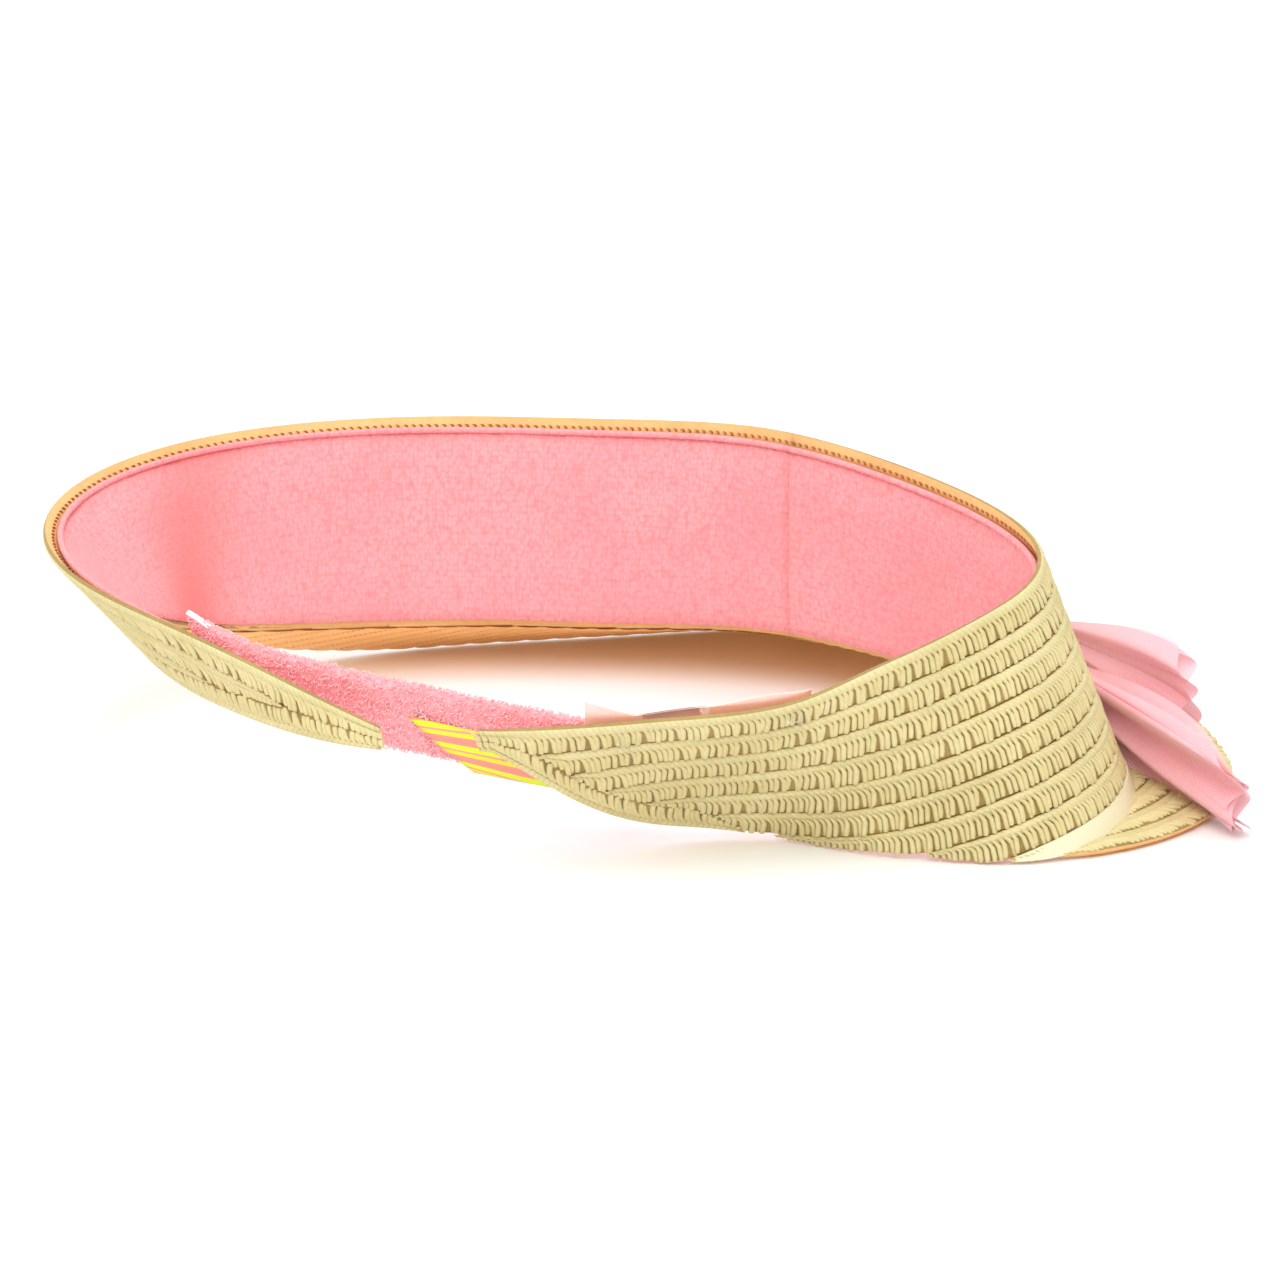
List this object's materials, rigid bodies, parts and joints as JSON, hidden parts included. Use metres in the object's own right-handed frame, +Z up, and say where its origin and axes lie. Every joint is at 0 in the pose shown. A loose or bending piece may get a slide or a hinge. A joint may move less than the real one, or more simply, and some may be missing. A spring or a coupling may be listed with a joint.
{
  "type": "sun visor",
  "caption": "Straw-plait sun visor with a curved brim, a terry sweatband, a terry-covered elastic back strap and a tulle bow on one side.",
  "frame": {"origin": "centre of the overall box, on the surface that the visor rests on", "axes": "+Z up, -Y towards the front of the brim, +X towards the wearer's left"},
  "size_m": [0.2246, 0.166, 0.0526],
  "materials": {
    "straw_plait": "plaited paper straw, matt",
    "terry": "fine looped terry jersey",
    "terry_strap": "fluffy terry towelling",
    "elastic": "woven elastic tape",
    "woven_label": "striped woven tape",
    "satin_ribbon": "satin ribbon",
    "clear_thread": "clear nylon thread",
    "tulle": "fine gathered tulle"
  },
  "bodies": {
    "crown": {"bow_knot": "tulle", "brim_course_1": "straw_plait", "brim_course_2": "straw_plait", "brim_course_3": "straw_plait", "brim_course_4": "straw_plait", "brim_course_5": "straw_plait", "brim_course_6": "straw_plait", "brim_course_7": "straw_plait", "brim_course_8": "straw_plait", "brim_course_9": "straw_plait", "crown_course_1": "straw_plait", "crown_course_2": "straw_plait", "crown_course_3": "straw_plait", "crown_course_4": "straw_plait", "crown_course_5": "straw_plait", "crown_course_6": "straw_plait", "crown_course_7": "straw_plait", "crown_course_8": "straw_plait", "crown_course_9": "straw_plait", "crown_sweatband": "terry", "crown_sweatband_hem": "terry"},
    "left_tail": {"left_tail_course_1": "straw_plait", "left_tail_course_2": "straw_plait", "left_tail_course_3": "straw_plait", "left_tail_course_4": "straw_plait", "left_tail_course_5": "straw_plait", "left_tail_course_6": "straw_plait", "left_tail_course_7": "straw_plait", "left_tail_sweatband": "terry", "left_tail_sweatband_hem": "terry", "strap_elastic_left": "elastic", "strap_sleeve_left": "terry_strap"},
    "right_tail": {"care_label": "satin_ribbon", "right_tail_course_1": "straw_plait", "right_tail_course_2": "straw_plait", "right_tail_course_3": "straw_plait", "right_tail_course_4": "straw_plait", "right_tail_course_5": "straw_plait", "right_tail_course_6": "straw_plait", "right_tail_course_7": "straw_plait", "right_tail_course_8": "straw_plait", "right_tail_sweatband": "terry", "right_tail_sweatband_hem": "terry", "strap_elastic_right": "elastic", "strap_sleeve_right": "terry_strap", "striped_label": "woven_label", "thread_tacks": "clear_thread"},
    "bow_rear": {"bow_rear_loop": "tulle", "bow_rear_tail": "tulle"},
    "bow_front": {"bow_front_loop": "tulle", "bow_front_tail": "tulle"}
  },
  "joints": [
    {"name": "left_tail_flex", "type": "hinge", "parent": "crown", "child": "left_tail", "pos_m": [0.113, 0.035, 0], "axis": [0, 0, -1], "range_deg": [0, 10], "stiffness_Nm_per_rad": 0.06},
    {"name": "right_tail_flex", "type": "hinge", "parent": "crown", "child": "right_tail", "pos_m": [-0.0647, 0.0289, 0], "axis": [0, 0, 1], "range_deg": [0, 10], "stiffness_Nm_per_rad": 0.06},
    {"name": "bow_rear_flop", "type": "hinge", "parent": "crown", "child": "bow_rear", "pos_m": [-0.0596, -0.032, 0.0203], "axis": [0, 0, 1], "range_deg": [0, 25], "stiffness_Nm_per_rad": 0.004},
    {"name": "bow_front_flop", "type": "hinge", "parent": "crown", "child": "bow_front", "pos_m": [-0.051, -0.0368, 0.0203], "axis": [0, 0, -1], "range_deg": [0, 25], "stiffness_Nm_per_rad": 0.004}
  ],
  "couplings": [
    {"joint": "right_tail_flex", "follows": "left_tail_flex", "ratio": 1}
  ]
}
